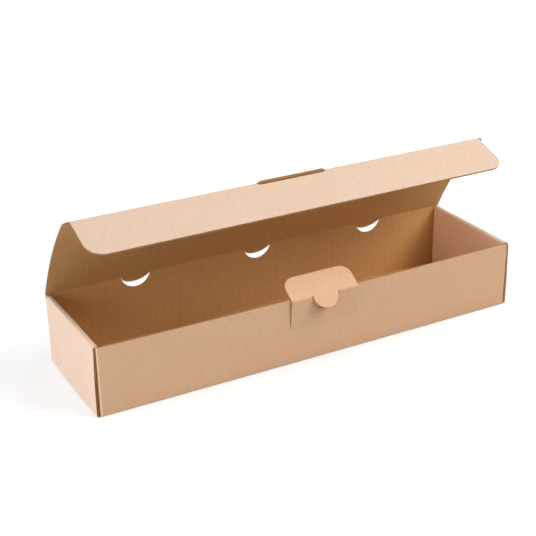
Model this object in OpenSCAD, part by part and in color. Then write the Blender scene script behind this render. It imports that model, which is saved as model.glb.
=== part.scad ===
// Baguette takeaway box, die-cut and folded from one sheet of fine corrugated board.
// Millimetres, +Z up. The origin is the centre of the underside, and X runs along the box.

/* [Box] */
// Outside length of the box
box_length = 350; // [300:5:420]
// Outside width of the box, front wall to back wall
box_width = 96; // [85:1:120]
// Outside height of the box with the lid shut
box_height = 55; // [50:1:75]

/* [Board] */
// Thickness of the corrugated board
board = 1.3; // [1.1:0.1:1.6]
// Inside radius of a finished fold
fold_ease = 0.3; // [0.2:0.05:0.5]
// Air between panels that lie against each other
layer_gap = 0.15; // [0.1:0.05:0.3]
// Air between an outer end panel and the long walls' corner folds
corner_gap = 0.45; // [0.2:0.05:0.8]
// Running gap between a crease's round and its socket
crease_gap = 0.15; // [0.1:0.05:0.25]
// Width of a die-cut slit between two panels
cut_gap = 0.3; // [0.2:0.05:0.5]

/* [Pose] */
// Angle of the lid above the shut position, between its two folds
lid_raise = 54; // [40:1:60]
// Turn of the tuck flap from the plane through the lid's two folds
tuck_turn = 73; // [66:1:80]
// Outward lean of the lock panel
lock_lean = 7; // [4:1:10]
// Turn of the lock flap from the lock panel's plane
lock_turn = 63; // [55:1:72]
// Turn of the thumb tab from the lock flap's plane, back towards the lock panel
thumb_turn = 22; // [10:1:26]

/* [Lid] */
// Gap under the shut lid, above the walls
lid_gap = 0.3; // [0.2:0.1:0.6]
// Turn of the bowed lid from its middle to each of its folds
lid_bow = 10; // [4:1:12]
// Radius of the lid's free corners
lid_corner = 3; // [1:0.5:4]
// Room between the tuck flap's plane and the front wall
tuck_gap = 0.4; // [0.3:0.1:1]
// Length of the tuck flap, from the outside of its fold to its free edge
tuck_length = 38.5; // [30:0.5:42]
// Radius of the tuck flap's free corners
tuck_corner = 13; // [8:1:18]
// Room between the tuck flap's side edges and the end walls
tuck_side_gap = 0.3; // [0.3:0.05:1]
// Width of the lid's middle tab at its root
tab_width = 57; // [40:1:70]
// Reach of the lid's middle tab past the tuck flap's face
tab_reach = 3.9; // [3:0.1:5]
// Cut-off at each corner of the middle tab
tab_chamfer = 3; // [1:0.5:4]

/* [Vents] */
// Number of half-moon vents along the lid hinge
vent_count = 3; // [1:1:3]
// Distance between neighbouring vents
vent_pitch = 104; // [60:1:120]
// Radius of a half-moon vent
vent_radius = 11.8; // [8:0.2:14]
// Height of the vent circle's centre above the hinge line
vent_rise = 2; // [0:0.5:4]

/* [Front lock] */
// Width of the lock panel and its flap
lock_width = 56; // [44:1:70]
// Offset of the lock from the middle of the front wall
lock_shift = 2.8; // [0:0.2:4]
// Height of the lock panel's bend line
lock_height = 29.5; // [20:0.5:32]
// Step from the front wall's rim down to the top of the lock fold
lock_drop = 0.1; // [0.1:0.1:1.5]
// Length of the lock flap
lock_flap_length = 19; // [14:0.5:22]
// Radius of the lock flap's free corners
lock_corner = 9; // [4:1:12]
// Radius of the half-round thumb tab
thumb_radius = 10.4; // [8:0.2:13]
// Room round the thumb tab in the lock panel
thumb_gap = 0.9; // [0.5:0.1:1.2]

/* [End walls] */
// Height of the corner folds' lower ends above the ground
corner_foot = 0.4; // [0.2:0.1:1.5]
// Gap between the top strip's end and the front wall
strip_gap = 0.8; // [0.5:0.1:2]
// Step from the long walls' faces to the end panel's raw edge
end_setback = 1.2; // [0.8:0.1:2.5]
// Length of a corner flap between the end wall's two layers
corner_flap = 44; // [25:1:46]
// Gap between the inner end panel and the front wall, where the tuck flap slides in
tuck_slot = 3.3; // [3:0.1:5]
// Gap between the inner end panel and the back wall
end_back_gap = 1.2; // [0.5:0.1:3]
// Cut-off at the inner end panel's lower corners
end_chamfer = 2; // [1:0.5:4]
// Width of a locking tab under the inner end panel
foot_width = 14; // [8:1:20]
// Distance between the two locking tabs
foot_pitch = 44; // [30:1:56]

/* [Hidden] */
$fn = 96;
kraft_out = "#dcb48c";
kraft_in = "#c9a077";

// Folds, and the overlap that joins two shapes of one piece
fold_out = board + fold_ease;
socket = board + crease_gap;
weld = 1;
pie_weld = 10;

// Straight steps that the lid's bow is made of
bow_steps = 10;

// Levels and planes of the tray
half_length = box_length / 2;
half_width = box_width / 2;
hinge_z = box_height - board;
hinge_y = half_width - board;
rim_z = hinge_z - lid_gap;
wall_half = half_length - board - corner_gap;
flat_half = wall_half - fold_out;
corner_low = fold_out + layer_gap;
corner_top = rim_z - fold_out - layer_gap;

// Rolled end wall: outer panel, corner flap and inner panel side by side
strip_width = 3 * board + corner_gap + layer_gap;
inner_face = half_length - strip_width;
panel_low = board + layer_gap;

// Lid and tuck flap
tuck_axis_y = -half_width + 2 * board + tuck_gap;
lid_length = hinge_y - tuck_axis_y;
tuck_half = inner_face - tuck_side_gap;
tuck_reach = tuck_length - board;
tab_length = board + tab_reach;

// Bow of the lid: an arc between its folds, in short straight steps
bow_radius = lid_length / 2 / sin(lid_bow);
bow_end = lid_bow * (1 - 1 / bow_steps);

// Front lock
lock_rise = rim_z - lock_drop - board - lock_height;
lock_half = lock_width / 2;
thumb_notch = thumb_radius + thumb_gap;

// Extrudes an outline drawn in Y and Z along the box, centred on X
module along_x(length) {
    rotate([90, 0, 90]) linear_extrude(height = length, center = true) children();
}

// Extrudes an outline drawn in X and Z across the box, from y0 to y1
module along_y(y0, y1) {
    translate([0, y1, 0]) rotate([90, 0, 0]) linear_extrude(height = y1 - y0) children();
}

// Quarter of a finished fold, with its centre at c and opening away from the quadrant q
module bend_2d(c, q) {
    translate(c) intersection() {
        difference() {
            circle(r = fold_out);
            circle(r = fold_ease);
        }
        translate([min(q[0], 0) * fold_out, min(q[1], 0) * fold_out]) square(fold_out);
    }
}

// Rectangle between two corners
module span_2d(low, high) {
    translate(low) square(high - low);
}

// Pie of the board's thickness about a fold axis, between two angles
module pie_2d(from, to) {
    reach = 2 * board;
    intersection() {
        circle(r = board);
        polygon(concat([[0, 0]], [for (k = [0:4]) let (a = from + (to - from) * k / 4) reach * [cos(a), sin(a)]]));
    }
}

// Round of a crease along X, between x0 and x1, for a panel whose fold axis is its X axis
module crease(x0, x1, turn) {
    translate([(x0 + x1) / 2, 0, 0]) along_x(x1 - x0) pie_2d(180 - turn, 270);
}

// Clearance round a crease's pie, cut from the panel that carries it
module crease_socket(length) {
    rotate([0, 90, 0]) cylinder(h = length, r = socket, center = true);
}

// Panel cut from the board: an outline in X and Y, under the fold side's plane
module panel() {
    translate([0, 0, -board]) linear_extrude(height = board) children();
}

// Where each moving panel's fold axis lies
module lid_place() {
    translate([0, hinge_y, hinge_z]) rotate([180 - lid_raise, 0, 0]) children();
}

module lid_end() {
    translate([0, lid_length, 0]) children();
}

module tuck_place() {
    lid_place() lid_end() rotate([tuck_turn, 0, 0]) children();
}

module lock_place() {
    translate([lock_shift, -half_width, lock_height]) rotate([90 + lock_lean, 0, 0]) children();
}

module lock_flap_place() {
    lock_place() translate([0, lock_rise, -board]) mirror([0, 0, 1]) rotate([lock_turn, 0, 0]) children();
}

// X positions of the vents
function vent_x() = [for (k = [0:vent_count - 1]) (k - (vent_count - 1) / 2) * vent_pitch];

// Base with the long walls folded up along its two sides
module long_walls_2d() {
    foot = half_width - fold_out;
    span_2d([-foot, 0], [foot, board]);
    bend_2d([-foot, fold_out], [-1, -1]);
    bend_2d([foot, fold_out], [1, -1]);
    span_2d([-half_width, fold_out], [-half_width + board, rim_z]);
    span_2d([hinge_y, fold_out], [half_width, hinge_z]);
}

// Vertical fold at the end of a long wall, with the corner flap between the end wall's two layers
module corner_flap(top) {
    translate([0, 0, corner_foot]) linear_extrude(height = top - corner_foot)
        bend_2d([flat_half, -half_width + fold_out], [1, -1]);
    translate([0, 0, corner_low]) linear_extrude(height = corner_top - corner_low)
        span_2d([wall_half - board, -half_width + fold_out], [wall_half, -half_width + corner_flap]);
}

module corner_flaps() {
    for (sx = [0, 1])
        mirror([sx, 0, 0]) {
            corner_flap(rim_z);
            mirror([0, 1, 0]) corner_flap(hinge_z);
        }
}

// Outer end panel, folded up from the base
module end_outer_2d() {
    foot = half_length - fold_out;
    span_2d([flat_half - weld, 0], [foot, board]);
    bend_2d([foot, fold_out], [1, -1]);
    span_2d([half_length - board, fold_out], [half_length, rim_z - fold_out]);
}

// Top strip of an end wall, rolled over the corner flaps
module end_strip_2d() {
    bend_2d([half_length - fold_out, rim_z - fold_out], [1, 1]);
    span_2d([inner_face + fold_out, rim_z - board], [half_length - fold_out, rim_z]);
    bend_2d([inner_face + fold_out, rim_z - fold_out], [-1, 1]);
}

// Inner end panel, from just over the base to the top strip
module end_inner_2d() {
    span_2d([inner_face, panel_low], [inner_face + board, rim_z - fold_out]);
}

// Cut-off at a lower corner of the inner end panel
module end_corner_cut(y) {
    translate([inner_face + board / 2, y, panel_low]) rotate([45, 0, 0])
        cube([2 * board, end_chamfer * sqrt(2), end_chamfer * sqrt(2)], center = true);
}

// Locking tabs of the inner end panel, or with room > 0 the slots that they stand in
module end_feet(room, low, high) {
    for (s = [-1, 1])
        translate([inner_face - room, s * foot_pitch / 2 - foot_width / 2 - room, low])
            cube([board + 2 * room, foot_width + 2 * room, high - low]);
}

// Outer end panel with its share of the base
module end_outer() {
    along_y(-half_width + end_setback, half_width - end_setback) end_outer_2d();
}

// Top strip, inner end panel and locking tabs
module end_roll() {
    front = -half_width + board + tuck_slot;
    back = hinge_y - end_back_gap;
    along_y(-half_width + board + strip_gap, back) end_strip_2d();
    difference() {
        along_y(front, back) end_inner_2d();
        end_corner_cut(front);
        end_corner_cut(back);
    }
    end_feet(0, layer_gap, panel_low + weld);
}

// Base, long walls and outer end panels, with the slots for the locking tabs
module shell() {
    difference() {
        union() {
            along_x(2 * flat_half) long_walls_2d();
            end_outer();
            mirror([1, 0, 0]) end_outer();
        }
        end_feet(layer_gap, -board, 2 * board);
        mirror([1, 0, 0]) end_feet(layer_gap, -board, 2 * board);
    }
}

// Half-moon openings that the lid's tongues leave in the back wall
module vent_cuts() {
    for (x = vent_x())
        translate([x, half_width, hinge_z + vent_rise]) rotate([90, 0, 0])
            cylinder(h = 4 * board, r = vent_radius + cut_gap, center = true);
}

// Opening in the front wall that the lock panel stands in
module lock_cut() {
    width = lock_width + 2 * cut_gap;
    translate([lock_shift - width / 2, -half_width - board, lock_height]) cube([width, 3 * board, rim_z]);
    translate([lock_shift, -half_width, lock_height]) crease_socket(width);
}

module tray() {
    color(kraft_out) difference() {
        union() {
            shell();
            corner_flaps();
            end_roll();
            mirror([1, 0, 0]) end_roll();
        }
        translate([0, hinge_y, hinge_z]) crease_socket(box_length);
        vent_cuts();
        lock_cut();
    }
}

// Bowed section of the lid between its folds, at a distance out from its inner face
function bow_points(out) = [
    for (k = [0:bow_steps])
        let (a = lid_bow * (2 * k / bow_steps - 1), r = bow_radius + out)
            [lid_length / 2 + r * sin(a), bow_radius * cos(lid_bow) - r * cos(a)]
];

module lid_section_2d() {
    outer = bow_points(board / cos(lid_bow / bow_steps));
    polygon(concat(bow_points(0), [for (k = [bow_steps:-1:0]) outer[k]]));
}

// Lid's outline from above, with round free corners
module lid_outline_2d() {
    side = half_length - lid_corner;
    straight = lid_length - lid_corner;
    span_2d([-half_length, -board], [half_length, straight]);
    span_2d([-side, -board], [side, lid_length + board]);
    for (s = [-1, 1])
        translate([s * side, straight]) circle(r = lid_corner);
}

// Middle tab of the lid past the tuck fold, from the fold axis
module tab_2d(room) {
    root = tab_width / 2 + room;
    tip = tab_length + room;
    polygon([
        [-root, 0], [root, 0],
        [root, tip - tab_chamfer], [root - tab_chamfer, tip],
        [-root + tab_chamfer, tip], [-root, tip - tab_chamfer],
    ]);
}

// Root of the middle tab, across the tuck fold's socket
module tab_root_2d(room) {
    root = tab_width / 2 + room;
    span_2d([-root, -socket - weld], [root, 0]);
}

// Half-moon tongues past the hinge, in the plane through the lid's two folds
module tongues_2d() {
    for (x = vent_x())
        intersection() {
            translate([x, vent_rise]) circle(r = vent_radius);
            translate([x - vent_radius, vent_rise - vent_radius]) square([2 * vent_radius, vent_radius - vent_rise]);
        }
}

// Parts of the hinge crease between the vents
module lid_crease() {
    difference() {
        rotate([-bow_end, 0, 0]) crease(-half_length, half_length, 90 - lid_raise - bow_end);
        for (x = vent_x())
            translate([x, -2 * board, 0]) cube([2 * vent_radius + 2 * cut_gap, 4 * board, 4 * board], center = true);
    }
}

// Bowed panel of the lid with the socket of the tuck fold
module lid_panel() {
    difference() {
        intersection() {
            along_x(box_length) lid_section_2d();
            translate([0, 0, -lid_length]) linear_extrude(height = 2 * lid_length) lid_outline_2d();
        }
        lid_end() crease_socket(2 * tuck_half + 2 * cut_gap);
    }
}

module lid() {
    color(kraft_out) lid_place() {
        lid_panel();
        lid_end() rotate([bow_end, 0, 0]) panel() tab_root_2d(0);
        lid_end() panel() tab_2d(0);
        panel() tongues_2d();
        lid_crease();
    }
}

// Tuck flap's outline, from its fold axis to its round free corners
module tuck_2d() {
    span_2d([-tuck_half, 0], [tuck_half, tuck_reach - tuck_corner]);
    span_2d([-tuck_half + tuck_corner, 0], [tuck_half - tuck_corner, tuck_reach]);
    for (s = [-1, 1])
        translate([s * (tuck_half - tuck_corner), tuck_reach - tuck_corner]) circle(r = tuck_corner);
}

module tuck_flap() {
    color(kraft_in) tuck_place() difference() {
        union() {
            panel() tuck_2d();
            crease(-tuck_half, tuck_half, tuck_turn - bow_end);
        }
        translate([0, 0, -2 * board]) linear_extrude(height = 4 * board) {
            tab_2d(cut_gap);
            tab_root_2d(cut_gap);
        }
    }
}

module lock_panel() {
    color(kraft_out) lock_place() difference() {
        union() {
            panel() span_2d([-lock_half, 0], [lock_half, lock_rise]);
            crease(-lock_half, lock_half, lock_lean);
        }
        translate([0, lock_rise, -board]) crease_socket(lock_width + 2 * cut_gap);
        translate([0, lock_rise, 0]) cylinder(h = 4 * board, r = thumb_notch, center = true);
    }
}

// Lock flap's outline, from its fold axis to its round free corners
module lock_flap_2d() {
    span_2d([-lock_half, 0], [lock_half, lock_flap_length - lock_corner]);
    span_2d([-lock_half + lock_corner, 0], [lock_half - lock_corner, lock_flap_length]);
    for (s = [-1, 1])
        translate([s * (lock_half - lock_corner), lock_flap_length - lock_corner]) circle(r = lock_corner);
}

// Half-round thumb tab on the other side of the lock fold, joined by a round of the board
module thumb_tab() {
    rotate([-thumb_turn, 0, 0]) panel() intersection() {
        circle(r = thumb_radius);
        span_2d([-thumb_radius, -thumb_radius], [thumb_radius, 0]);
    }
    along_x(2 * thumb_radius + cut_gap) pie_2d(270 - thumb_turn - pie_weld, 270 + pie_weld);
}

module lock_flap() {
    color(kraft_in) lock_flap_place() {
        panel() lock_flap_2d();
        thumb_tab();
        crease(-lock_half, -thumb_notch, lock_turn);
        crease(thumb_notch, lock_half, lock_turn);
    }
}

tray();
lid();
tuck_flap();
lock_panel();
lock_flap();
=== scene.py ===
import math

import bmesh
import bpy
import numpy as np
from mathutils import Matrix, Vector
from mathutils.geometry import delaunay_2d_cdt


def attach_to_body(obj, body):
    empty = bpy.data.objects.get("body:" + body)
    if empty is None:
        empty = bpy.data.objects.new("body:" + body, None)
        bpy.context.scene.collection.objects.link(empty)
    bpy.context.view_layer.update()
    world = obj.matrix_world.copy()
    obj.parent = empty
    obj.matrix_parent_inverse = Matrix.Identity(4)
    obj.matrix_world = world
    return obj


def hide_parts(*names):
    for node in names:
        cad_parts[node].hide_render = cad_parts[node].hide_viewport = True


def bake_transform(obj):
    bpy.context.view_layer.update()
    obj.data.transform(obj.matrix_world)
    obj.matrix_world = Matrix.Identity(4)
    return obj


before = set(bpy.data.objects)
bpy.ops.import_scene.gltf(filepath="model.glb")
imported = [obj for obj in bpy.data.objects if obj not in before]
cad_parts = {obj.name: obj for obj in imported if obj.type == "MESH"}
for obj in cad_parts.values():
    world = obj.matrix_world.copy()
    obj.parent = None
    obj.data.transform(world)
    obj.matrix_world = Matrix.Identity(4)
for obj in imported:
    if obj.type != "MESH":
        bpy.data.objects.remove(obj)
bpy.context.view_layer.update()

MM = 0.001

# Lengths are in millimetres and angles in degrees, unless a comment says otherwise

# The board: its thickness, the room at folds, between layers and at cuts, and its two liners and wavy medium
BOARD = 1.3
FOLD_EASE = 0.3
FOLD_OUT = BOARD + FOLD_EASE
LAYER_GAP = 0.15
CORNER_GAP = 0.45
CUT_GAP = 0.3
FOLD_TRIM = 0.08
LINER = 0.2
MEDIUM = 0.13
FLUTE_PITCH = 3.3
FLUTE_STEPS = 8
FLUTE_REACH = 7.0
FLUTE_SIDE = 4.0
FLUTE_SHORTEST = 2.0
FLUTE_WHOLE = 2.5 * FLUTE_REACH

# How finely the mesh follows bends, in degrees a step, and from which radius a bend is wide
BEND_STEP = 13.0
CREASE_STEP = 9.0
WIDE_BEND_STEP = 2.5
WIDE_BEND = 20.0
# How far apart a crease is cut along its length, its radius on the fold side, and which edges stay sharp
CREASE_SPACING = 12.0
CREASE_RADIUS = 0.001
SHARP_ANGLE = 32.0
# How near an outline the mesh isn't cut again, how near points count as one, and how small a triangle is dropped
CUT_MARGIN = 0.02
FLUTE_CUT_MARGIN = 0.05
MERGE = 1e-4
LEAST_AREA = 1e-7
# Points this near are welded, in metres
WELD_M = 2e-6
# A shift that keeps a line off an outline's corners, and how exactly a section's stretches meet
OFF_CORNER = 1e-5
TINY = 1e-9

# The flat sheet: its texture coordinates, and where the panels that are cut free lie on it
UV_NAME = "flat_sheet"
UV_UNIT = 100.0
SHEET_LEFT_END = 400.0
SHEET_CORNER_FLAP = 300.0
SHEET_TUCK_FOLD = 1.5
SHEET_LOCK_PANEL = 25.0
SHEET_LOCK_FLAP = 60.0

# Finishes of a face: the outside of the long walls, the inside, raw edges, whose darker colour is also painted as
# shade on the end walls' bottom fold, and a painted highlight: a paler, lit copy of the outside, laid on the other
# panels' outside where strong light falls
OUTER, INNER, EDGE_AND_SHADE, PAINTED_HIGHLIGHT = range(4)

# The tray
HALF_LENGTH = 175.0
HALF_WIDTH = 48.0
HEIGHT = 55.0
HINGE_Y = HALF_WIDTH - BOARD
HINGE_Z = HEIGHT - BOARD
RIM_DROP = 0.3
RIM_Z = HINGE_Z - RIM_DROP
WALL_HALF = HALF_LENGTH - BOARD - CORNER_GAP
FLAT_HALF = WALL_HALF - FOLD_OUT
INNER_FACE = HALF_LENGTH - 3 * BOARD - CORNER_GAP - LAYER_GAP
PANEL_LOW = BOARD + LAYER_GAP
END_SETBACK = 1.2
END_EDGE = HALF_WIDTH - END_SETBACK
ROLL_FRONT_GAP = 3.3
ROLL_BACK_GAP = 1.2
STRIP_GAP = 0.8
ROLL_FRONT = -HALF_WIDTH + BOARD + ROLL_FRONT_GAP
ROLL_BACK = HINGE_Y - ROLL_BACK_GAP
STRIP_FRONT = -HALF_WIDTH + BOARD + STRIP_GAP
CORNER_FLAP = 44.0
CORNER_FOOT = 0.4
HINGE_EAR = 2.4
EAR_OVERLAP = 0.2
FOOT_WIDTH = 14.0
FOOT_PITCH = 44.0
END_CHAMFER = 2.0
BASE_BREAKS = (4.0, 9.0)
BASE_CUTS = 29
WALL_CUTS = 8
END_CUTS = 13
END_BREAK = 4.0
FACE_MARGIN = 0.1
# Height below which the end walls' bottom fold is painted darker, as shade
FOOT_TOP = 0.75 * BOARD

# The lid and the tuck flap
LID_RAISE = 54.0
LID_BOW = 20.0
TUCK_TURN = 73.0
LID_SETBACK = 0.4
LID_CHORD = HINGE_Y + HALF_WIDTH - 2 * BOARD - LID_SETBACK
LID_CORNER = 3.0
LID_CUTS = 15
TUCK_GAP = 0.3
TUCK_HALF = INNER_FACE - TUCK_GAP
TUCK_REACH = 38.5 - BOARD
TUCK_CORNER = 13.0
TAB_HALF = 28.5
TAB_LENGTH = 3.0
TAB_SLOT = 1.7
TAB_CHAMFER = 2.4

# The vents along the hinge
VENT_X = (-104.0, 0.0, 104.0)
VENT_RADIUS = 11.8
VENT_RISE = 2.0

# The front lock
LOCK_LEAN = 7.0
LOCK_TURN = 63.0
LOCK_Z = 29.5
LOCK_DROP = 0.1
LOCK_RISE = RIM_Z - LOCK_DROP - BOARD - LOCK_Z
LOCK_HALF = 28.0
LOCK_SHIFT = 2.8
LOCK_FLAP = 19.0
LOCK_CORNER = 9.0
THUMB_RADIUS = 10.4
THUMB_NOTCH = 11.3
THUMB_TURN = 22.0
LOCK_BREAKS = (-15.0, 0.0, 15.0)

# How far the lid's and the lock flap's sections run on past their tongues and tabs
TONGUE_MARGIN = 1.0

# How far the front wall bows, at its rim and at its foot, and how far from the box's middle that sets in
FRONT_BOW = 2.0
FRONT_BOW_LOW = 0.5
FRONT_BOW_FROM = 38.0
FRONT_BOW_BLEND = 9.0

# How far the ends bow at their foot and flare at their front edge, how far forward the flare sets in, and how steeply
END_BOW = 1.2
END_FLARE = 0.9
END_FLARE_FROM = 22.0
END_FLARE_BLEND = 25.0
END_FLARE_RISE = 1.8


def left_of(angle):
    """Unit vector a quarter turn anticlockwise from an angle."""
    return np.array([-math.sin(angle), math.cos(angle)])


class Route:
    """Cross-section of a folded panel: straight and turned stretches, measured along the middle of the board.

    Heights n run from 0 on the fold side to -BOARD on the other. side is 1 where folds turn left, else -1."""

    def __init__(self, start, heading, side=1):
        self.point = np.array(start, float)
        self.angle = math.radians(heading)
        self.side = side
        self.length = 0.0
        self.parts = []

    def straight(self, length):
        self.parts.append((self.length, length, self.point.copy(), self.angle, 0.0, 0.0))
        self.point = self.point + length * np.array([math.cos(self.angle), math.sin(self.angle)])
        self.length += length
        return self

    def turn(self, degrees, radius):
        """A bend with this radius on the fold side."""
        swing = math.radians(degrees)
        length = (radius + BOARD / 2) * abs(swing)
        self.parts.append((self.length, length, self.point.copy(), self.angle, swing, radius))
        centre = self.point + radius * self.side * left_of(self.angle)
        self.angle += self.side * swing
        self.point = centre - radius * self.side * left_of(self.angle)
        self.length += length
        return self

    def kink(self, degrees):
        """A sharp change of heading about the fold side's line."""
        self.angle += math.radians(degrees)
        return self

    def end(self, n=0.0):
        """The last point, at height n, and the heading there in degrees."""
        return self.point + n * self.side * left_of(self.angle), math.degrees(self.angle)

    def breaks(self, step=BEND_STEP):
        """Distances at which a mesh needs vertices to follow the bends."""
        marks = []
        for start, length, _, _, swing, radius in self.parts:
            marks.append(start)
            if swing:
                angle = step if radius < WIDE_BEND else WIDE_BEND_STEP
                count = max(2, int(math.ceil(abs(math.degrees(swing)) / angle)))
                marks += [start + length * k / count for k in range(1, count)]
        return marks + [self.length]

    def place(self, v, n):
        """Points of the section at distances v and heights n."""
        v, n = np.broadcast_arrays(np.asarray(v, float), np.asarray(n, float))
        out = np.zeros(v.shape + (2,))
        last = len(self.parts) - 1
        for i, (start, length, point, angle, swing, radius) in enumerate(self.parts):
            inside = np.ones(v.shape, bool)
            if i > 0:
                inside &= v >= start - TINY
            if i < last:
                inside &= v < start + length - TINY
            along = v[inside] - start
            if swing:
                centre = point + radius * self.side * left_of(angle)
                a = angle + self.side * swing * along / length
                normal = self.side * np.stack([-np.sin(a), np.cos(a)], -1)
                out[inside] = centre - (radius - n[inside])[:, None] * normal
            else:
                heading = np.array([math.cos(angle), math.sin(angle)])
                normal = self.side * left_of(angle)
                out[inside] = point + along[:, None] * heading + n[inside][:, None] * normal
        return out


def arc(centre, radius, start, stop, count=14):
    """Points of an arc, from one angle to another in degrees."""
    angles = np.radians(np.linspace(start, stop, count + 1))
    return [(centre[0] + radius * math.cos(a), centre[1] + radius * math.sin(a)) for a in angles]


def inside_loop(points, loop):
    """Whether each point lies inside a closed outline."""
    x, y = points[:, 0], points[:, 1]
    found = np.zeros(len(points), bool)
    for (x0, y0), (x1, y1) in zip(loop, loop[1:] + loop[:1]):
        if y0 != y1:
            crosses = (y0 > y) != (y1 > y)
            found ^= crosses & (x < (x1 - x0) * (y - y0) / (y1 - y0) + x0)
    return found


def crossings(loop, u):
    """Intervals of v in which the line at u lies inside the outline."""
    marks = []
    for (u0, v0), (u1, v1) in zip(loop, loop[1:] + loop[:1]):
        if (u0 > u) != (u1 > u):
            marks.append(v0 + (v1 - v0) * (u - u0) / (u1 - u0))
    marks.sort()
    return list(zip(marks[::2], marks[1::2]))


def fill_outline(loop, u_breaks, v_breaks):
    """Triangles that fill an outline on the flat sheet, cut along the breaks: their vertices and faces."""
    us, vs = [p[0] for p in loop], [p[1] for p in loop]
    u0, u1, v0, v1 = min(us), max(us), min(vs), max(vs)
    cuts = [((u, v0 - 1), (u, v1 + 1)) for u in u_breaks if u0 + CUT_MARGIN < u < u1 - CUT_MARGIN]
    cuts += [((u0 - 1, v), (u1 + 1, v)) for v in v_breaks if v0 + CUT_MARGIN < v < v1 - CUT_MARGIN]
    coords, edges = [Vector(p) for p in loop], []
    for start, stop in cuts:
        edges.append((len(coords), len(coords) + 1))
        coords += [Vector(start), Vector(stop)]
    result = delaunay_2d_cdt(coords, edges, [list(range(len(loop)))], 0, MERGE)
    grid = np.array([tuple(c) for c in result[0]])
    faces = np.array([f for f in result[2] if len(f) == 3])
    middles = grid[faces].mean(1)
    a, b, c = grid[faces[:, 0]], grid[faces[:, 1]], grid[faces[:, 2]]
    area = (b[:, 0] - a[:, 0]) * (c[:, 1] - a[:, 1]) - (b[:, 1] - a[:, 1]) * (c[:, 0] - a[:, 0])
    faces = faces[inside_loop(middles, loop) & (np.abs(area) > LEAST_AREA)]
    used = np.unique(faces)
    index = -np.ones(len(grid), int)
    index[used] = np.arange(len(used))
    return grid[used], index[faces]


def open_edges(faces):
    """Edges that only one triangle has, in the direction in which it runs along them."""
    seen = {}
    for f in faces:
        for i, j in ((f[0], f[1]), (f[1], f[2]), (f[2], f[0])):
            seen.setdefault((min(i, j), max(i, j)), []).append((i, j))
    return [runs[0] for runs in seen.values() if len(runs) == 1]


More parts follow.
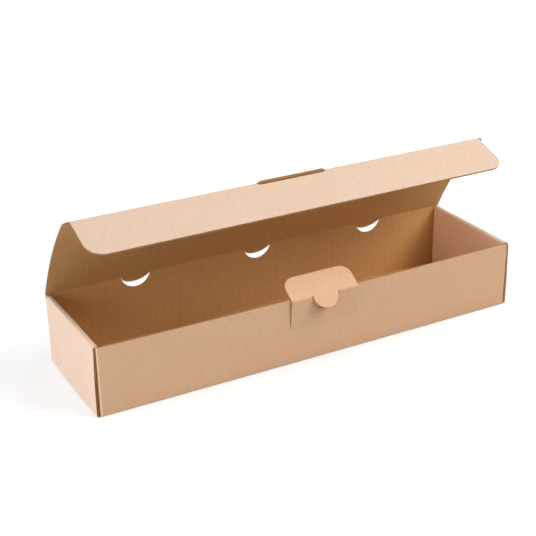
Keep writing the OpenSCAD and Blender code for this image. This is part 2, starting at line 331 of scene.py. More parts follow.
class Sheet:
    """Mesh of one body's board: vertices, faces, their finish and their place on the flat sheet."""

    def __init__(self):
        self.points = []
        self.faces = []
        self.finish = []
        self.flat = []
        self.count = 0

    def add(self, points, flat, faces, finish):
        self.points.append(np.asarray(points, float))
        self.flat.append(np.asarray(flat, float))
        self.faces += [[self.count + i for i in face] for face in faces]
        self.finish += list(finish)
        self.count += len(points)

    def slab(self, loop, u_breaks, v_breaks, low, high, place, finish, offset):
        """Solid layer of the board between two heights, inside an outline on the flat sheet.

        finish holds those of its upper side, its lower side and its rim."""
        grid, faces = fill_outline(loop, u_breaks, v_breaks)
        count = len(grid)
        top = place(grid[:, 0], grid[:, 1], np.full(count, high))
        bottom = place(grid[:, 0], grid[:, 1], np.full(count, low))
        rim = [(j, i, i + count, j + count) for i, j in open_edges(faces)]
        mesh_faces = [tuple(f) for f in faces] + [tuple(f[::-1] + count) for f in faces] + rim
        marks = [finish[0]] * len(faces) + [finish[1]] * len(faces) + [finish[2]] * len(rim)
        flat = np.concatenate([grid, grid]) + np.array(offset)
        self.add(np.concatenate([top, bottom]), flat, mesh_faces, marks)

    def flutes(self, loop, v_breaks, place, offset):
        """The wavy middle layer, as deep as it can be seen from the cut edges."""
        us = [p[0] for p in loop]
        u0, u1 = min(us), max(us)
        step = FLUTE_PITCH / FLUTE_STEPS
        columns = np.arange(math.ceil(u0 / step), math.floor(u1 / step) + 1) * step
        swing = (BOARD - 2 * LINER - MEDIUM) / 2
        spans = [crossings(loop, u + OFF_CORNER) for u in columns]
        for k in range(len(columns) - 1):
            if len(spans[k]) != len(spans[k + 1]):
                continue
            at_side = columns[k] < u0 + FLUTE_SIDE or columns[k] > u1 - FLUTE_SIDE
            for (a0, b0), (a1, b1) in zip(spans[k], spans[k + 1]):
                if min(b0, b1) - max(a0, a1) < FLUTE_SHORTEST:
                    continue
                pieces = [(a0, a1, b0, b1)]
                if not at_side and min(b0, b1) - max(a0, a1) > FLUTE_WHOLE:
                    pieces = [(a0, a1, a0 + FLUTE_REACH, a1 + FLUTE_REACH),
                              (b0 - FLUTE_REACH, b1 - FLUTE_REACH, b0, b1)]
                for l0, l1, h0, h1 in pieces:
                    low, high = max(l0, l1) + FLUTE_CUT_MARGIN, min(h0, h1) - FLUTE_CUT_MARGIN
                    inner = sorted(v for v in v_breaks if low < v < high)
                    left, right = [l0] + inner + [h0], [l1] + inner + [h1]
                    self.flute_strip(columns[k], columns[k + 1], left, right, swing, place, offset)

    def flute_strip(self, ua, ub, left, right, swing, place, offset):
        """One facet of the wave, between two lines along the flutes, with ends where it is cut."""
        count = len(left)
        u = np.array([ua] * count + [ub] * count)
        v = np.array(left + right)
        wave = -BOARD / 2 + swing * np.sin(2 * math.pi * u / FLUTE_PITCH)
        flat = np.stack([u, v], 1) + np.array(offset)
        top = place(u, v, wave + MEDIUM / 2)
        bottom = place(u, v, wave - MEDIUM / 2)
        whole = 2 * count
        faces = []
        for i in range(count - 1):
            faces.append((i, count + i, count + i + 1, i + 1))
            faces.append((whole + i, whole + i + 1, whole + count + i + 1, whole + count + i))
        for i in (0, count - 1):
            faces.append((i, whole + i, whole + count + i, count + i))
        self.add(np.concatenate([top, bottom]), np.concatenate([flat, flat]), faces, [EDGE_AND_SHADE] * len(faces))

    def board(self, loop, u_breaks, v_breaks, place, offset=(0, 0), swap=False, papers=(INNER, OUTER)):
        """Corrugated board inside an outline: two liners and the flutes between them. swap turns the flutes.

        papers are the finishes of the fold side and of the other side."""
        self.slab(loop, u_breaks, v_breaks, -LINER, 0, place, (papers[0], EDGE_AND_SHADE, EDGE_AND_SHADE), offset)
        self.slab(loop, u_breaks, v_breaks, -BOARD, -BOARD + LINER, place, (EDGE_AND_SHADE, papers[1], EDGE_AND_SHADE), offset)
        if swap:
            turned = [(v, u) for u, v in loop]
            self.flutes(turned, u_breaks, lambda u, v, n: place(v, u, n), (offset[1], offset[0]))
        else:
            self.flutes(loop, v_breaks, place, offset)

    def build(self, name, materials):
        """The sheet as an object, its seams welded, with its texture coordinates and finishes."""
        mesh = bpy.data.meshes.new(name)
        points = np.concatenate(self.points) * MM
        flat = np.concatenate(self.flat) / UV_UNIT
        mesh.from_pydata([tuple(p) for p in points], [], self.faces)
        mesh.polygons.foreach_set("material_index", np.array(self.finish, np.int32))
        layer = mesh.uv_layers.new(name=UV_NAME)
        corners = np.zeros(len(mesh.loops), np.int32)
        mesh.loops.foreach_get("vertex_index", corners)
        layer.data.foreach_set("uv", flat[corners].astype(np.float32).ravel())
        bm = bmesh.new()
        bm.from_mesh(mesh)
        bmesh.ops.remove_doubles(bm, verts=bm.verts, dist=WELD_M)
        bmesh.ops.recalc_face_normals(bm, faces=bm.faces)
        bm.to_mesh(mesh)
        bm.free()
        for material in materials:
            mesh.materials.append(material)
        mesh.polygons.foreach_set("use_smooth", np.ones(len(mesh.polygons), bool))
        mesh.set_sharp_from_angle(angle=math.radians(SHARP_ANGLE))
        piece = bpy.data.objects.new(name, mesh)
        bpy.context.scene.collection.objects.link(piece)
        return piece


# Materials

# Tone, darker fibres and lighter fibres of each finish, and how strongly the ribs of the flutes show: in the bump,
# and in darker bands over the ribs that are partly the flutes showing through and partly painted shade
PAPERS = (
    ("kraft_outer", (0.80, 0.505, 0.315), (0.62, 0.36, 0.20), (0.85, 0.56, 0.37), 0.03),
    ("kraft_inner", (0.69, 0.405, 0.165), (0.48, 0.25, 0.09), (0.75, 0.46, 0.21), 0.08),
    # Raw edges and the medium; the same colour also paints the shade on the end walls' bottom fold
    ("kraft_edge_and_shade", (0.60, 0.34, 0.145), (0.40, 0.19, 0.065), (0.70, 0.44, 0.22), 0.03),
    # The painted highlight: the outside's kraft made paler, as strong light shows it, for the lid, tuck flap, end
    # walls and their folds
    ("kraft_painted_highlight", (0.76, 0.555, 0.42), (0.56, 0.37, 0.24), (0.80, 0.62, 0.49), 0.03),
)
# Layers of the paper's colour: scale, detail and stretch of a noise, the range that shows, what it adds and how much
PAPER_LAYERS = (
    ("cloud", 2.6, 4.0, (1.0, 1.4, 1.0), (0.3, 0.7), "light", 0.45),
    ("fibres", 60.0, 6.0, (0.35, 2.6, 1.0), (0.48, 0.68), "dark", 0.6),
    ("cross_fibres", 85.0, 5.0, (2.4, 0.5, 1.0), (0.46, 0.64), "light", 0.8),
    ("grain", 260.0, 3.0, (1.0, 1.0, 1.0), (0.42, 0.6), "dark", 0.2),
    ("specks", 150.0, 2.0, (0.6, 1.3, 1.0), (0.62, 0.7), "dark", 0.75),
)
NOISE_ROUGHNESS = 0.6
PAPER_ROUGHNESS = 0.86
PAPER_SPECULAR = 0.25
# The ribs show at every second flute. The wave texture repeats every 2 pi / 20 units at a scale of 1
RIB_SCALE = UV_UNIT * 2 * math.pi / 20 / (2 * FLUTE_PITCH)
RIB_DISTORTION = 0.25
RIB_DETAIL = 1.0
# Bump of the paper, in metres, with the grain's share in it
GRAIN_SHARE = 0.35
FINE_STRENGTH, FINE_DEPTH = 0.35, 0.00006
RIB_STRENGTH, RIB_DEPTH = 8.0, 0.00005


class Graph:
    """The node tree of a material or a world, emptied, with short calls that add nodes."""

    def __init__(self, owner):
        owner.use_nodes = True
        self.owner = owner
        self.nodes, self.links = owner.node_tree.nodes, owner.node_tree.links
        self.nodes.clear()

    def node(self, kind, inputs=None, **settings):
        """A node with these settings. An input is a value, or another node's output, which is linked."""
        made = self.nodes.new(kind)
        for name, value in settings.items():
            setattr(made, name, value)
        for key, value in (inputs or {}).items():
            if isinstance(value, bpy.types.NodeSocket):
                self.links.new(value, made.inputs[key])
            else:
                made.inputs[key].default_value = value
        return made.outputs

    def noise(self, uv, scale, detail, stretch):
        where = self.node("ShaderNodeMapping", {"Vector": uv, "Scale": stretch})[0]
        settings = {"Vector": where, "Scale": scale, "Detail": detail, "Roughness": NOISE_ROUGHNESS}
        return self.node("ShaderNodeTexNoise", settings)[0]

    def ramp(self, value, low, high):
        return self.node("ShaderNodeMapRange", {"Value": value, "From Min": low, "From Max": high})[0]

    def mix(self, factor, share, under, over):
        """Two colours mixed by a share of a factor."""
        scaled = self.node("ShaderNodeMath", {0: factor, 1: share}, operation="MULTIPLY")[0]
        return self.node("ShaderNodeMix", {"Factor": scaled, 6: under, 7: over}, data_type="RGBA")[2]


def paper_normal(graph, noises, ribs, rib):
    """The fine bump of grain and fibres, over the broad one of the ribs."""
    height = graph.node("ShaderNodeMath", {0: noises["grain"], 1: GRAIN_SHARE, 2: noises["fibres"]},
                        operation="MULTIPLY_ADD")[0]
    fine = {"Strength": FINE_STRENGTH, "Distance": FINE_DEPTH, "Height": height}
    broad = {"Strength": RIB_STRENGTH * rib, "Distance": RIB_DEPTH, "Height": ribs}
    broad["Normal"] = graph.node("ShaderNodeBump", fine)[0]
    return graph.node("ShaderNodeBump", broad)[0]


def kraft(name, tone, dark, light, rib):
    """Uncoated kraft paper: cloudy formation, long fibres, specks and the faint ribs of the flutes below, as bump and
    as darker bands that are partly show-through and partly painted shade.
    """
    graph = Graph(bpy.data.materials.new(name))
    uv = graph.node("ShaderNodeUVMap", uv_map=UV_NAME)[0]
    tones = {"dark": dark + (1.0,), "light": light + (1.0,)}
    colour, noises = tone + (1.0,), {}
    for layer, scale, detail, stretch, shown, added, share in PAPER_LAYERS:
        noises[layer] = graph.noise(uv, scale, detail, stretch)
        colour = graph.mix(graph.ramp(noises[layer], *shown), share, colour, tones[added])
    wave = {"Vector": uv, "Scale": RIB_SCALE, "Distortion": RIB_DISTORTION, "Detail": RIB_DETAIL}
    ribs = graph.node("ShaderNodeTexWave", wave, wave_type="BANDS", bands_direction="X")[1]
    paper = {
        # The ribs' darker bands: partly the flutes showing through, partly painted shade of the washboard
        "Base Color": graph.mix(ribs, rib, colour, tones["dark"]),
        "Roughness": PAPER_ROUGHNESS,
        "Specular IOR Level": PAPER_SPECULAR,
        "Normal": paper_normal(graph, noises, ribs, rib),
    }
    graph.node("ShaderNodeOutputMaterial", {"Surface": graph.node("ShaderNodeBsdfPrincipled", paper)[0]})
    return graph.owner


# Panels

def across(route, bulge=None):
    """Placement of a sheet whose section lies in Y and Z, and whose u runs along the box."""
    def place(u, v, n):
        section = route.place(v, n)
        points = np.stack([u, section[..., 0], section[..., 1]], -1)
        return bulge(points) if bulge else points
    return place


def bulge_long(points):
    """The front wall's outward bow, greatest at the middle of its rim."""
    out = points.copy()
    near = np.clip((-points[:, 1] - FRONT_BOW_FROM) / FRONT_BOW_BLEND, 0, 1)
    height = np.clip(points[:, 2] / RIM_Z, 0, 1)
    middle = 1 - (points[:, 0] / WALL_HALF) ** 2
    out[:, 1] -= near * np.clip(middle, 0, 1) * (FRONT_BOW_LOW + (FRONT_BOW - FRONT_BOW_LOW) * height)
    return out


LOCK_BOW = FRONT_BOW_LOW + (FRONT_BOW - FRONT_BOW_LOW) * LOCK_Z / RIM_Z


def bulge_lock(points):
    """The front wall's bow, carried on into the lock panel and its flap."""
    out = points.copy()
    middle = 1 - (points[:, 0] / WALL_HALF) ** 2
    out[:, 1] -= middle * LOCK_BOW
    return out


def vent_notches(edge_v, radius, forward):
    """Half-moon notches along an edge at edge_v, walked towards rising u where forward, else falling."""
    points = []
    for x in (VENT_X if forward else VENT_X[::-1]):
        centre = (x, edge_v + VENT_RISE)
        low = math.degrees(math.asin(VENT_RISE / radius))
        span = arc(centre, radius, 180 + low, 360 - low)
        points += span if forward else span[::-1]
    return points


def long_route():
    """Section of the front wall, the base and the back wall, from the front rim to the hinge."""
    route = Route((-HALF_WIDTH + BOARD, RIM_Z), -90)
    route.straight(RIM_Z - FOLD_OUT).turn(90, FOLD_EASE)
    route.straight(2 * (HALF_WIDTH - FOLD_OUT)).turn(90, FOLD_EASE)
    return route.straight(HINGE_Z - FOLD_OUT)


LID_HEADING = 180 - LID_RAISE
TUCK_HEADING = LID_HEADING + TUCK_TURN
LID_RADIUS = LID_CHORD / 2 / math.sin(math.radians(LID_BOW / 2))


def lid_route():
    """Section of the bowed lid between its folds."""
    return Route((HINGE_Y, HINGE_Z), LID_HEADING - LID_BOW / 2).turn(LID_BOW, LID_RADIUS)


def add_long_walls(sheet):
    """Front wall, base and back wall in one piece. Returns where the middle of the base lies on the sheet."""
    route = long_route()
    rim_v, hinge_v = 0.0, route.length
    lock_v = RIM_Z - LOCK_Z
    lock = LOCK_HALF + CUT_GAP
    left, right = LOCK_SHIFT - lock, LOCK_SHIFT + lock
    base_low = RIM_Z - FOLD_OUT + (FOLD_EASE + BOARD / 2) * math.pi / 2
    middle = base_low + HALF_WIDTH - FOLD_OUT
    slot_u = INNER_FACE - LAYER_GAP

    def end_slots(sign):
        """Half of each locking tab's slot, on this end's edge, walked towards rising v where sign is 1."""
        points = []
        for s in (-1, 1):
            centre = middle + sign * s * FOOT_PITCH / 2
            half = (FOOT_WIDTH / 2 + LAYER_GAP) * sign
            points += [(sign * FLAT_HALF, centre - half), (sign * slot_u, centre - half)]
            points += [(sign * slot_u, centre + half), (sign * FLAT_HALF, centre + half)]
        return points

    loop = [(-FLAT_HALF, rim_v), (left, rim_v), (left, lock_v), (right, lock_v), (right, rim_v)]
    loop += [(FLAT_HALF, rim_v)] + end_slots(1) + [(FLAT_HALF, hinge_v)]
    loop += vent_notches(hinge_v, VENT_RADIUS + CUT_GAP, False)
    loop += [(-FLAT_HALF, hinge_v)] + end_slots(-1)
    u_breaks = list(np.linspace(-FLAT_HALF, FLAT_HALF, BASE_CUTS))
    v_breaks = route.breaks() + list(np.linspace(0, RIM_Z - FOLD_OUT, WALL_CUTS))
    v_breaks += [base_low + b for b in BASE_BREAKS]
    sheet.board(loop, u_breaks, v_breaks, across(route, bulge_long))
    for sign in (-1, 1):
        low, high = sorted((sign * (WALL_HALF - EAR_OVERLAP), sign * HALF_LENGTH))
        ear = [(low, hinge_v - HINGE_EAR), (high, hinge_v - HINGE_EAR), (high, hinge_v), (low, hinge_v)]
        # The hinge ears are painted in the highlight colour on every face
        sheet.slab(ear, [], [], -BOARD, 0.0, across(route), (PAINTED_HIGHLIGHT, PAINTED_HIGHLIGHT, PAINTED_HIGHLIGHT), (0, 0))
    return middle


def end_route():
    """Section of an end wall in X and Z: outer panel, top strip, inner panel."""
    route = Route((FLAT_HALF, BOARD), 0)
    route.straight(HALF_LENGTH - FOLD_OUT - FLAT_HALF).turn(90, FOLD_EASE)
    route.straight(RIM_Z - 2 * FOLD_OUT).turn(90, FOLD_EASE)
    route.straight(HALF_LENGTH - INNER_FACE - 2 * FOLD_OUT).turn(90, FOLD_EASE)
    return route.straight(RIM_Z - FOLD_OUT - PANEL_LOW)


def bulge_end(points):
    """The outer end panel's slight bow at its foot, and the flare of its front edge below the rim."""
    out = points.copy()
    outside = np.clip((points[:, 0] - HALF_LENGTH + 3 * BOARD) / (2 * BOARD), 0, 1)
    middle = np.clip(1 - (points[:, 1] / HALF_WIDTH) ** 2, 0, 1)
    height = np.clip(1 - points[:, 2] / RIM_Z, 0, 1)
    front = np.clip((-points[:, 1] - END_FLARE_FROM) / END_FLARE_BLEND, 0, 1) ** 2
    flare = END_FLARE * front * np.clip(END_FLARE_RISE * height, 0, 1)
    out[:, 0] += outside * (END_BOW * middle * height + flare)
    return out


def end_outline(rise, roll, length):
    """An end wall on the flat sheet, from the base: outer panel, narrower strip, inner panel with two tabs.

    The strip starts at rise, the inner panel at roll. The tabs' slots are open towards the base."""
    tip = length + PANEL_LOW - LAYER_GAP
    slot = INNER_FACE + BOARD + LAYER_GAP - FLAT_HALF
    feet = [(s * FOOT_PITCH / 2 - FOOT_WIDTH / 2, s * FOOT_PITCH / 2 + FOOT_WIDTH / 2) for s in (-1, 1)]
    loop = [(0, -END_EDGE), (rise, -END_EDGE), (rise, STRIP_FRONT), (roll, STRIP_FRONT), (roll, ROLL_FRONT)]
    loop += [(length - END_CHAMFER, ROLL_FRONT), (length, ROLL_FRONT + END_CHAMFER)]
    for low, high in feet:
        loop += [(length, low), (tip, low), (tip, high), (length, high)]
    loop += [(length, ROLL_BACK - END_CHAMFER), (length - END_CHAMFER, ROLL_BACK)]
    loop += [(rise, ROLL_BACK), (rise, END_EDGE), (0, END_EDGE)]
    for low, high in feet[::-1]:
        low, high = low - LAYER_GAP, high + LAYER_GAP
        loop += [(0, high), (slot, high), (slot, low), (0, low)]
    return loop


def finish_end_faces(sheet, first):
    """Of the faces from the first on, the inner end panels' side in the plain tan rather than the painted highlight,
    and painted shade at the foot: the outer panel's bottom fold in the darker edge colour.
    """
    points = np.concatenate(sheet.points)
    for i in range(first, len(sheet.faces)):
        corners = points[sheet.faces[i]]
        if sheet.finish[i] == PAINTED_HIGHLIGHT and np.abs(corners[:, 0]).max() < INNER_FACE + FACE_MARGIN:
            sheet.finish[i] = OUTER
        # The bottom fold faces down, and is painted in the darker edge colour as its shade
        elif sheet.finish[i] == PAINTED_HIGHLIGHT and corners[:, 2].max() < FOOT_TOP:
            sheet.finish[i] = EDGE_AND_SHADE


def add_end_wall(sheet, sign, middle):
    """A rolled end wall, on the right where sign is 1, else on the left."""
    route = end_route()
    rise, roll = route.parts[3][0], route.parts[-1][0]

    def place(u, v, n):
        section = route.place(u, n)
        points = bulge_end(np.stack([section[..., 0], v, section[..., 1]], -1))
        points[:, 0] *= sign
        return points

    u_breaks = route.breaks() + list(np.linspace(END_BREAK, roll, WALL_CUTS))
    v_breaks = list(np.linspace(-END_EDGE, END_EDGE, END_CUTS))
    offset = (FLAT_HALF + SHEET_LEFT_END * (sign < 0), middle)
    first = len(sheet.faces)
    # The end wall's outside takes the painted highlight
    sheet.board(end_outline(rise, roll, route.length), u_breaks, v_breaks, place, offset=offset, swap=True,
                papers=(INNER, PAINTED_HIGHLIGHT))
    finish_end_faces(sheet, first)


def add_corner_flap(sheet, sx, sy):
    """A flap between an end wall's layers, turned in from a long wall. sx and sy are the signs of its corner."""
    route = Route((FLAT_HALF, -HALF_WIDTH + BOARD), 0)
    bend = route.turn(90, FOLD_EASE).length
    route.straight(CORNER_FLAP - FOLD_OUT)
    low, high = FOLD_OUT + LAYER_GAP, RIM_Z - FOLD_OUT - LAYER_GAP
    top = RIM_Z if sy > 0 else HINGE_Z
    loop = [(0, CORNER_FOOT), (bend, CORNER_FOOT), (bend, low), (route.length, low), (route.length, high)]
    loop += [(bend, high), (bend, top), (0, top)]

    def place(u, v, n):
        section = route.place(u, n)
        return np.stack([sx * section[..., 0], sy * section[..., 1], v], -1)

    sheet.board(loop, route.breaks(), [], place, offset=(FLAT_HALF, SHEET_CORNER_FLAP * sy))


def attach(piece, node):
    """Put a dressed piece on the body of its node, in place of the plain solid."""
    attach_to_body(piece, node)
    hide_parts(node)


def make_tray(materials):
    """The long walls and base, the rolled end walls and the corner flaps, as one piece."""
    sheet = Sheet()
    middle = add_long_walls(sheet)
    for sx in (1, -1):
        add_end_wall(sheet, sx, middle)
        for sy in (1, -1):
            add_corner_flap(sheet, sx, sy)
    piece = sheet.build("tray_board", materials)
    attach(piece, "tray")


def lid_outline(arc_length):
    """The lid with its tongues past the hinge and its middle tab past the tuck fold."""
    side, straight = HALF_LENGTH - LID_CORNER, arc_length - LID_CORNER
    tip, narrow = arc_length + TAB_LENGTH, TAB_HALF - TAB_CHAMFER
    loop = [(-HALF_LENGTH, FOLD_TRIM)] + vent_notches(FOLD_TRIM, VENT_RADIUS, True) + [(HALF_LENGTH, FOLD_TRIM)]
    loop += arc((side, straight), LID_CORNER, 0, 90, 6)
    loop += [(TAB_HALF, arc_length), (TAB_HALF, tip - TAB_CHAMFER), (narrow, tip)]
    loop += [(-narrow, tip), (-TAB_HALF, tip - TAB_CHAMFER), (-TAB_HALF, arc_length)]
    return loop + arc((-side, straight), LID_CORNER, 90, 180, 6)


def make_lid(materials):
    """The bowed lid. Returns the point and heading at which the tuck fold starts."""
    arc_length = lid_route().length
    run = VENT_RADIUS + TONGUE_MARGIN
    chord = math.radians(LID_HEADING)
    route = Route((HINGE_Y - run * math.cos(chord), HINGE_Z - run * math.sin(chord)), LID_HEADING)
    route.straight(run).kink(-LID_BOW / 2).turn(LID_BOW, LID_RADIUS)
    end, heading = route.end()
    route.kink(-LID_BOW / 2).straight(TAB_LENGTH + TONGUE_MARGIN)
    loop = [(u, v + run) for u, v in lid_outline(arc_length)]
    sheet = Sheet()
    u_breaks = list(np.linspace(-HALF_LENGTH, HALF_LENGTH, LID_CUTS))
    offset = (0, long_route().length - run)
    # The lid's outside takes the painted highlight
    sheet.board(loop, u_breaks, route.breaks(), across(route), offset=offset, papers=(INNER, PAINTED_HIGHLIGHT))
    piece = sheet.build("lid_board", materials)
    attach(piece, "lid")
    return end, heading


def make_tuck_flap(materials, start):
    """The flap along the lid's free edge, with the slot that the lid's tab leaves."""
    route = Route(start, TUCK_HEADING).straight(TUCK_REACH)
    narrow, wide = TAB_HALF - TAB_CHAMFER, TAB_HALF + CUT_GAP
    loop = [(-TUCK_HALF, FOLD_TRIM), (-wide, FOLD_TRIM), (-narrow, TAB_SLOT)]
    loop += [(narrow, TAB_SLOT), (wide, FOLD_TRIM), (TUCK_HALF, FOLD_TRIM)]
    loop += arc((TUCK_HALF - TUCK_CORNER, TUCK_REACH - TUCK_CORNER), TUCK_CORNER, 0, 90)
    loop += arc((-TUCK_HALF + TUCK_CORNER, TUCK_REACH - TUCK_CORNER), TUCK_CORNER, 90, 180)
    sheet = Sheet()
    offset = (0, long_route().length + lid_route().length + SHEET_TUCK_FOLD)
    # The tuck flap's outside takes the painted highlight
    sheet.board(loop, [], [], across(route), offset=offset, papers=(INNER, PAINTED_HIGHLIGHT))
    piece = sheet.build("tuck_board", materials)
    attach(piece, "tuck_flap")


LOCK_LEFT, LOCK_RIGHT = LOCK_SHIFT - LOCK_HALF, LOCK_SHIFT + LOCK_HALF
LOCK_CUTS = [LOCK_SHIFT + x for x in LOCK_BREAKS]


def lock_route():
    """Section of the lock panel, from its bend up to its fold."""
    return Route((-HALF_WIDTH, LOCK_Z), 90 + LOCK_LEAN).straight(LOCK_RISE)


def make_lock_panel(materials):
    """The panel bent out of the front wall, notched around the thumb tab."""
    loop = [(LOCK_LEFT, FOLD_TRIM), (LOCK_RIGHT, FOLD_TRIM), (LOCK_RIGHT, LOCK_RISE)]
    loop += arc((LOCK_SHIFT, LOCK_RISE), THUMB_NOTCH, 0, -180, 20) + [(LOCK_LEFT, LOCK_RISE)]
    sheet = Sheet()
    offset = (0, -LOCK_RISE + SHEET_LOCK_PANEL)
    sheet.board(loop, LOCK_CUTS, [], across(lock_route(), bulge_lock), offset=offset, papers=(OUTER, INNER))
    piece = sheet.build("lock_panel_board", materials)
    attach(piece, "lock_panel")


def make_lock_flap(materials):
    """The flap folded in at the lock panel's top, with its half-round thumb tab."""
    start, heading = lock_route().end(-BOARD)
    run = THUMB_RADIUS + TONGUE_MARGIN
    flap = Route(start, heading - LOCK_TURN + THUMB_TURN, side=-1)
    flap.point = flap.point - run * np.array([math.cos(flap.angle), math.sin(flap.angle)])
    flap.straight(run).kink(-THUMB_TURN).straight(LOCK_FLAP)
    fold, high = run + FOLD_TRIM, run + LOCK_FLAP - LOCK_CORNER
    loop = [(LOCK_LEFT, fold), (LOCK_SHIFT - THUMB_RADIUS, fold)]
    loop += arc((LOCK_SHIFT, run), THUMB_RADIUS, 180, 360, 24)[1:-1]
    loop += [(LOCK_SHIFT + THUMB_RADIUS, fold), (LOCK_RIGHT, fold)]
    loop += arc((LOCK_RIGHT - LOCK_CORNER, high), LOCK_CORNER, 0, 90)
    loop += arc((LOCK_LEFT + LOCK_CORNER, high), LOCK_CORNER, 90, 180)
    sheet = Sheet()
    sheet.board(loop, LOCK_CUTS, flap.breaks(), across(flap, bulge_lock), offset=(0, SHEET_LOCK_FLAP))
    piece = sheet.build("lock_flap_board", materials)
    attach(piece, "lock_flap")


def add_crease(sheet, spans, start, heading, turn, side=1, bulge=None, offset=(0, 0), papers=(INNER, OUTER)):
    """Rounded board over a fold, between the panels that it joins. Returns its section."""
    route = Route(start, heading, side).turn(turn, CREASE_RADIUS)
    for low, high in spans:
        loop = [(low, 0), (high, 0), (high, route.length), (low, route.length)]
        u_breaks = list(np.arange(math.ceil(low / CREASE_SPACING) * CREASE_SPACING, high, CREASE_SPACING))
        place = across(route, bulge)
        sheet.slab(loop, u_breaks, route.breaks(CREASE_STEP), -BOARD, 0.0, place, papers + (EDGE_AND_SHADE,), offset)
    return route


def spans_between(limit, cuts, middle=0.0):
    """Stretches of a fold about its middle, left between cuts that are each a centre and a half width."""
    edges = [-limit] + [e for centre, half in cuts for e in (centre - half, centre + half)] + [limit]
    edges = [middle + e for e in edges]
    return list(zip(edges[::2], edges[1::2]))


def finish_crease(sheet, name, materials, route):
    """Build a crease's piece and bake its placement into its mesh."""
    piece = sheet.build(name, materials)
    first = route.place(np.array([0.0]), np.array([-BOARD]))[0]
    last = route.place(np.array([route.length]), np.array([-BOARD]))[0]
    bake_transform(piece)


def make_lid_creases(materials, tuck_start, lid_heading):
    """The hinge, cut through at the vents, and the tuck fold, cut through at the lid's tab."""
    vent_half = math.sqrt((VENT_RADIUS + CUT_GAP) ** 2 - VENT_RISE ** 2)
    spans = spans_between(HALF_LENGTH, [(x, vent_half) for x in VENT_X])
    sheet = Sheet()
    # The hinge's outside takes the painted highlight
    route = add_crease(sheet, spans, (HINGE_Y, HINGE_Z), 90, 90 - LID_RAISE - LID_BOW / 2,
                       offset=(0, long_route().length), papers=(INNER, PAINTED_HIGHLIGHT))
    finish_crease(sheet, "hinge_crease", materials, route)

    spans = spans_between(TUCK_HALF, [(0, TAB_HALF + CUT_GAP)])
    sheet = Sheet()
    # The tuck fold's outside takes the painted highlight
    route = add_crease(sheet, spans, tuck_start, lid_heading, TUCK_HEADING - lid_heading,
                       offset=(0, long_route().length + lid_route().length), papers=(INNER, PAINTED_HIGHLIGHT))
    finish_crease(sheet, "tuck_crease", materials, route)


def make_lock_creases(materials):
    """The lock panel's bend, and its fold, cut through at the thumb tab."""
    spans = spans_between(LOCK_HALF, [], LOCK_SHIFT)
    sheet = Sheet()
    route = add_crease(sheet, spans, (-HALF_WIDTH, LOCK_Z), 90, LOCK_LEAN, bulge=bulge_lock)
    finish_crease(sheet, "lock_bend", materials, route)

    start, heading = lock_route().end(-BOARD)
    spans = spans_between(LOCK_HALF, [(0, THUMB_NOTCH)], LOCK_SHIFT)
    sheet = Sheet()
    route = add_crease(sheet, spans, start, heading, LOCK_TURN, side=-1, bulge=bulge_lock)
    finish_crease(sheet, "lock_fold", materials, route)


def make_object():
    materials = [kraft(*paper) for paper in PAPERS]
    make_tray(materials)
    tuck_start, lid_heading = make_lid(materials)
    make_tuck_flap(materials, tuck_start)
    make_lock_panel(materials)
    make_lock_flap(materials)
    make_lid_creases(materials, tuck_start, lid_heading)
    make_lock_creases(materials)


# Camera, floor and light

# The camera of the photo, found by a least squares fit to the box's corners and edges
CAMERA_AZIMUTH = -28.595
CAMERA_ELEVATION = 24.532
CAMERA_ROLL = -0.791
CAMERA_DISTANCE = 926.3
CAMERA_SHIFT_MM = (-15.02, 48.4)
CAMERA_FOCAL_PX = 1192.39
FRAME_PX = 536
SENSOR_MM = 36.0
CLIP_START = 0.01

# The floor, in metres: the camera sees it glow, up to white in the distance, and it throws grey light back
FLOOR_HALF = 6.0
FLOOR_TONE = (0.5, 0.5, 0.5, 1.0)
FLOOR_ROUGHNESS = 0.9
FLOOR_GLOW = 0.5
FLOOR_FADE = (0.35, 1.1)
WHITE = (1.0, 1.0, 1.0, 1.0)

# The camera sees a white world, which lights the object only faintly
WORLD_SOFT = 0.03

# Square lamps, all aimed at the box: name, position and size in metres, power in watts, colour
LAMP_TARGET = (0.0, 0.0, 0.05)
LAMPS = (
    ("top", (0.0, 0.0, 1.8), 1.2, 10.5, (0.98, 1.0, 1.04)),
    ("left_low", (-1.75, 0.0, 0.45), 0.8, 23.0, (0.97, 1.0, 1.07)),
    ("left_front", (-1.25, -1.25, 0.45), 0.8, 6.0, (1.0, 0.98, 0.94)),
    ("right_front", (0.95, -0.95, 1.2), 1.0, 20.0, (1.0, 0.97, 0.92)),
    ("back_low", (-0.3, 1.75, 0.5), 0.8, 13.0, (1.0, 1.0, 1.0)),
    ("right_high", (1.3, 0.0, 1.25), 1.0, 8.0, (1.0, 0.98, 0.96)),
)


def make_camera():
    azimuth, elevation, roll = (math.radians(a) for a in (CAMERA_AZIMUTH, CAMERA_ELEVATION, CAMERA_ROLL))
    back = Vector((math.sin(azimuth) * math.cos(elevation), -math.cos(azimuth) * math.cos(elevation),
                   math.sin(elevation)))
    level = (-back).cross(Vector((0, 0, 1))).normalized()
    rise = level.cross(-back)
    right = math.cos(roll) * level + math.sin(roll) * rise
    up = -math.sin(roll) * level + math.cos(roll) * rise
    centre = right * CAMERA_SHIFT_MM[0] + up * CAMERA_SHIFT_MM[1] + back * CAMERA_DISTANCE
    data = bpy.data.cameras.new("camera")
    data.sensor_width = SENSOR_MM
    data.lens = CAMERA_FOCAL_PX / FRAME_PX * SENSOR_MM
    data.clip_start = CLIP_START
    camera = bpy.data.objects.new("camera", data)
    turn = Matrix((right, up, back)).transposed().to_4x4()
    camera.matrix_world = Matrix.Translation(centre * MM) @ turn
    bpy.context.scene.collection.objects.link(camera)
    bpy.context.scene.camera = camera


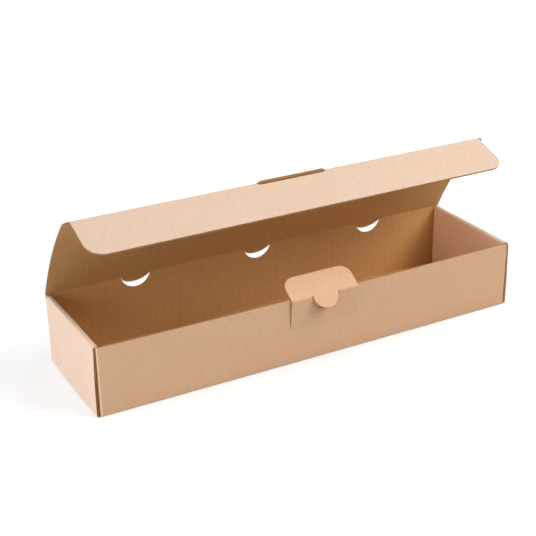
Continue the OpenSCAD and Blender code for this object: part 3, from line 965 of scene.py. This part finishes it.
def floor_material():
    """Pale to the camera, whiter with distance, and grey to the light."""
    graph = Graph(bpy.data.materials.new("floor"))
    where = graph.node("ShaderNodeNewGeometry")["Position"]
    reach = graph.node("ShaderNodeVectorMath", {0: where}, operation="LENGTH")["Value"]
    near, far = FLOOR_FADE
    fading = {"Value": reach, "From Min": near, "From Max": far, "To Min": FLOOR_GLOW, "To Max": 1.0}
    fade = graph.node("ShaderNodeMapRange", fading)[0]
    seen = graph.node("ShaderNodeLightPath")["Is Camera Ray"]
    glow = graph.node("ShaderNodeMath", {0: seen, 1: fade}, operation="MULTIPLY")[0]
    paper = {
        "Base Color": FLOOR_TONE,
        "Roughness": FLOOR_ROUGHNESS,
        "Emission Color": WHITE,
        "Emission Strength": glow,
    }
    graph.node("ShaderNodeOutputMaterial", {"Surface": graph.node("ShaderNodeBsdfPrincipled", paper)[0]})
    return graph.owner


def make_floor():
    mesh = bpy.data.meshes.new("floor")
    corners = [(x * FLOOR_HALF, y * FLOOR_HALF, 0) for x, y in ((-1, -1), (1, -1), (1, 1), (-1, 1))]
    mesh.from_pydata(corners, [], [(0, 1, 2, 3)])
    mesh.materials.append(floor_material())
    floor = bpy.data.objects.new("floor", mesh)
    bpy.context.scene.collection.objects.link(floor)


def make_world():
    world = bpy.data.worlds.new("studio")
    bpy.context.scene.world = world
    graph = Graph(world)
    soft = graph.node("ShaderNodeBackground", {"Color": WHITE, "Strength": WORLD_SOFT})[0]
    seen = graph.node("ShaderNodeBackground", {"Color": WHITE})[0]
    ray = graph.node("ShaderNodeLightPath")["Is Camera Ray"]
    both = graph.node("ShaderNodeMixShader", {0: ray, 1: soft, 2: seen})[0]
    graph.node("ShaderNodeOutputWorld", {"Surface": both})


def make_lamps():
    for name, position, size, power, colour in LAMPS:
        data = bpy.data.lights.new(name, "AREA")
        data.shape = "SQUARE"
        data.size = size
        data.energy = power
        data.color = colour
        lamp = bpy.data.objects.new(name, data)
        lamp.location = position
        aim = Vector(LAMP_TARGET) - Vector(position)
        lamp.rotation_euler = aim.to_track_quat("-Z", "Y").to_euler()
        bpy.context.scene.collection.objects.link(lamp)


def main():
    make_object()
    make_camera()
    make_floor()
    make_world()
    make_lamps()
    bpy.context.scene.view_settings.view_transform = "Standard"


main()
